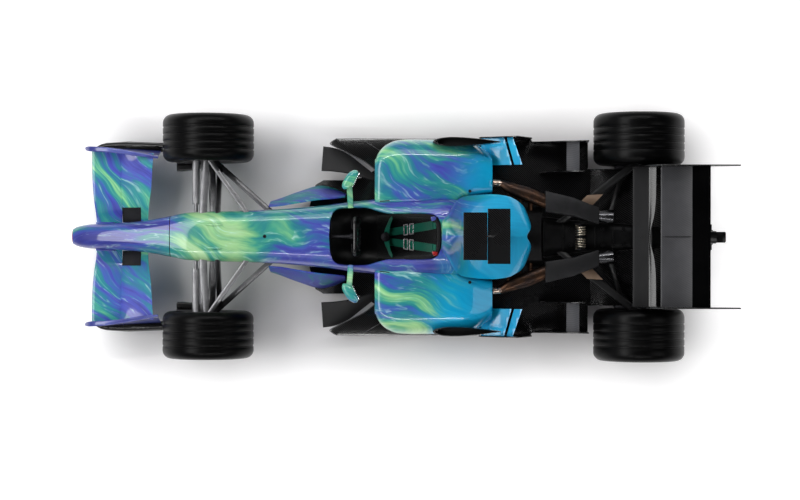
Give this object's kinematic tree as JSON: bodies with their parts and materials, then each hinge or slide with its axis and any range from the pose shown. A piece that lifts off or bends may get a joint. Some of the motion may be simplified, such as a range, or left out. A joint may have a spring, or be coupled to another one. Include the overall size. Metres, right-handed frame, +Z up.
{
  "type": "open_wheel_racing_car",
  "caption": "Open wheel racing car with grooved tyres, front and rear wings, sidepods and an open engine bay, in a blue, teal and cyan flowing livery.",
  "frame": {"origin": "on the ground under the middle of the car's box", "axes": "+X forward to the nose, +Y to the driver's left, +Z up"},
  "size_m": [4.792, 1.795, 0.9746],
  "materials": {
    "livery_blue": "gloss clear coat",
    "livery_teal": "gloss clear coat",
    "livery_cyan": "gloss clear coat",
    "end_plate_blue": "gloss clear coat",
    "carbon": "satin carbon fibre",
    "silver_paint": "satin",
    "plank_wood": "matte",
    "seat_black": "matte",
    "belt_green": "woven",
    "radiator_core": "matte",
    "cast_alloy": "satin",
    "exhaust_bronze": "heat tinted",
    "shield_grey": "matte",
    "bright_metal": "polished",
    "dark_alloy": "satin",
    "rim_alloy": "satin",
    "tyre_rubber": "matte",
    "light_red": "clear lens"
  },
  "bodies": {
    "chassis": {"nose_cone": "livery_blue", "front_wing_main": "livery_blue", "front_wing_flaps": "livery_blue", "front_wing_end_plates": "end_plate_blue", "front_wing_pylons": "livery_blue", "monocoque": "livery_blue", "cockpit_tub": "livery_blue", "roll_hoop": "livery_blue", "seat": "seat_black", "belts": "belt_green", "mirrors": "livery_blue", "sidepod_left": "livery_teal", "sidepod_right": "livery_teal", "radiators": "radiator_core", "chimneys": "carbon", "bargeboards": "livery_blue", "deflectors": "carbon", "flip_ups": "livery_cyan", "floor": "carbon", "plank": "plank_wood", "diffuser": "carbon", "engine_cover": "livery_cyan", "cover_winglet": "carbon", "engine_block": "cast_alloy", "exhausts": "exhaust_bronze", "heat_shields": "shield_grey", "tailpipes": "bright_metal", "gearbox": "cast_alloy", "coil_springs": "bright_metal", "front_upper_arms": "silver_paint", "front_lower_arms": "carbon", "front_pushrods": "carbon", "rear_upper_arms": "carbon", "rear_lower_arms": "carbon", "rear_pushrods": "carbon", "rear_uprights": "dark_alloy", "driveshafts": "bright_metal", "rear_wing_planes": "carbon", "rear_wing_end_plates": "carbon", "beam_wing": "carbon", "crash_structure": "carbon", "rear_light": "light_red"},
    "knuckle_left": {"knuckle_left": "dark_alloy"},
    "knuckle_right": {"knuckle_right": "dark_alloy"},
    "rack": {"steering_rack": "silver_paint"},
    "hand_wheel": {"steering_wheel": "seat_black"},
    "wheel_front_left": {"rim_front_left": "rim_alloy", "tyre_front_left": "tyre_rubber"},
    "wheel_front_right": {"rim_front_right": "rim_alloy", "tyre_front_right": "tyre_rubber"},
    "wheel_rear_left": {"rim_rear_left": "rim_alloy", "tyre_rear_left": "tyre_rubber"},
    "wheel_rear_right": {"rim_rear_right": "rim_alloy", "tyre_rear_right": "tyre_rubber"}
  },
  "joints": [
    {"name": "steer_left", "type": "hinge", "parent": "chassis", "child": "knuckle_left", "pos_m": [1.391, 0.575, 0.33], "axis": [0, 0, 1], "range_deg": [-16, 16]},
    {"name": "steer_right", "type": "hinge", "parent": "chassis", "child": "knuckle_right", "pos_m": [1.391, -0.575, 0.33], "axis": [0, 0, 1], "range_deg": [-16, 16]},
    {"name": "rack_slide", "type": "slide", "parent": "chassis", "child": "rack", "axis": [0, 1, 0], "range_m": [-0.0225, 0.0225]},
    {"name": "hand_wheel_turn", "type": "hinge", "parent": "chassis", "child": "hand_wheel", "pos_m": [0.321, 0, 0.6], "axis": [-0.9781, 0, 0.2079], "range_deg": [-161, 161]},
    {"name": "spin_front_left", "type": "hinge", "parent": "knuckle_left", "child": "wheel_front_left", "pos_m": [1.391, 0.713, 0.33], "axis": [0, 1, 0], "continuous": true},
    {"name": "spin_front_right", "type": "hinge", "parent": "knuckle_right", "child": "wheel_front_right", "pos_m": [1.391, -0.713, 0.33], "axis": [0, 1, 0], "continuous": true},
    {"name": "spin_rear_left", "type": "hinge", "parent": "chassis", "child": "wheel_rear_left", "pos_m": [-1.744, 0.71, 0.33], "axis": [0, 1, 0], "continuous": true},
    {"name": "spin_rear_right", "type": "hinge", "parent": "chassis", "child": "wheel_rear_right", "pos_m": [-1.744, -0.71, 0.33], "axis": [0, 1, 0], "continuous": true}
  ],
  "couplings": [
    {"joint": "steer_right", "follows": "steer_left", "ratio": 1},
    {"joint": "rack_slide", "follows": "steer_left", "m_per_rad": 0.08},
    {"joint": "hand_wheel_turn", "follows": "steer_left", "ratio": 10}
  ]
}
